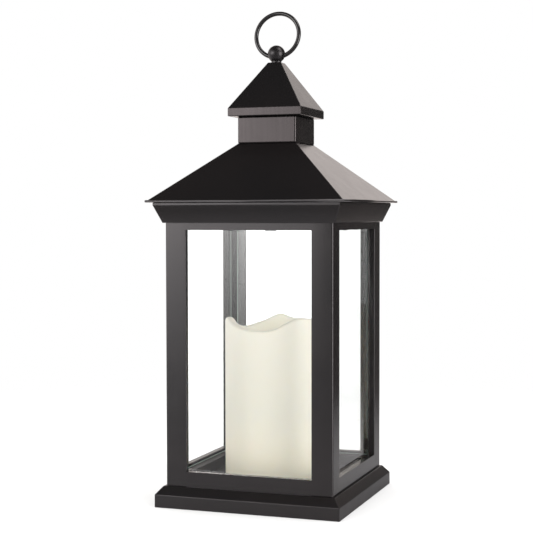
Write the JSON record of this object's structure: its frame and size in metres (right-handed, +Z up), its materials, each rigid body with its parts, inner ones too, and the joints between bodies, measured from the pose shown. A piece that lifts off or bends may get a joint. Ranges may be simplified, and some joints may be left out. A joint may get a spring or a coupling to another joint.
{
  "type": "candle lantern",
  "caption": "Square glazed lantern of black sheet metal with a pyramid roof, capped chimney, hanging ring and rear door, holding a flameless pillar candle.",
  "frame": {"origin": "on the floor, under the middle of the plinth", "axes": "+Z up, front window towards -Y, rear door towards +Y, +X to the right seen from the front"},
  "size_m": [0.1458, 0.1458, 0.3569],
  "materials": {
    "black_paint": "satin black paint on sheet steel",
    "black_gloss": "gloss black paint",
    "clear_glass": "clear float glass with ground edges",
    "zinc_steel": "bright zinc plating",
    "ferrite": "matt sintered ferrite",
    "wax": "smooth ivory wax",
    "ivory_plastic": "moulded plastic, fine texture",
    "black_plastic": "moulded plastic",
    "amber_lens": "clear amber lens",
    "board_laminate": "solder-masked laminate",
    "cell_jacket": "plain printed sleeve",
    "contact_plating": "bright nickel plating"
  },
  "bodies": {
    "lantern": {"base_screws": "zinc_steel", "cap": "black_paint", "cap_plate": "black_paint", "catch_magnet": "ferrite", "cornice_front": "black_paint", "cornice_left": "black_paint", "cornice_rear": "black_paint", "cornice_right": "black_paint", "finial": "black_gloss", "floor_plate": "black_paint", "front_left_post": "black_paint", "front_low_rail": "black_paint", "front_pane": "clear_glass", "front_right_post": "black_paint", "front_top_rail": "black_paint", "hinge_pin": "zinc_steel", "left_low_rail": "black_paint", "left_pane": "clear_glass", "left_top_rail": "black_paint", "neck": "black_paint", "pane_clips": "black_paint", "plinth": "black_paint", "rear_head_rail": "black_paint", "rear_left_post": "black_paint", "rear_right_post": "black_paint", "right_low_rail": "black_paint", "right_pane": "clear_glass", "right_top_rail": "black_paint", "roof": "black_paint", "roof_screws": "zinc_steel", "stud_nut": "zinc_steel", "stud_washer": "zinc_steel"},
    "hanging_ring": {"ring": "black_gloss"},
    "door": {"door_clips": "black_paint", "door_free_stile": "black_paint", "door_hinge_stile": "black_paint", "door_knob": "black_gloss", "door_low_rail": "black_paint", "door_pane": "clear_glass", "door_top_rail": "black_paint", "strike_plate": "zinc_steel"},
    "candle": {"wax_shell": "wax", "battery_housing": "ivory_plastic", "housing_lid": "ivory_plastic", "led_lamp": "amber_lens", "circuit_board": "board_laminate", "battery_cells": "cell_jacket", "battery_contacts": "contact_plating", "battery_cover": "ivory_plastic", "cover_screw": "zinc_steel"},
    "switch": {"mode_switch": "black_plastic"}
  },
  "joints": [
    {"name": "ring_swing", "type": "hinge", "parent": "lantern", "child": "hanging_ring", "pos_m": [0, 0, 0.32345], "axis": [1, 0, 0], "range_deg": [-126, 144]},
    {"name": "door_swing", "type": "hinge", "parent": "lantern", "child": "door", "pos_m": [0.05845, 0.05985, 0.108], "axis": [0, 0, -1], "range_deg": [0, 95]},
    {"name": "candle_lift", "type": "slide", "parent": "lantern", "child": "candle", "axis": [0, 0, 1], "range_m": [0, 0.09]},
    {"name": "switch_slide", "type": "slide", "parent": "candle", "child": "switch", "axis": [1, 0, 0], "range_m": [0, 0.004]}
  ]
}
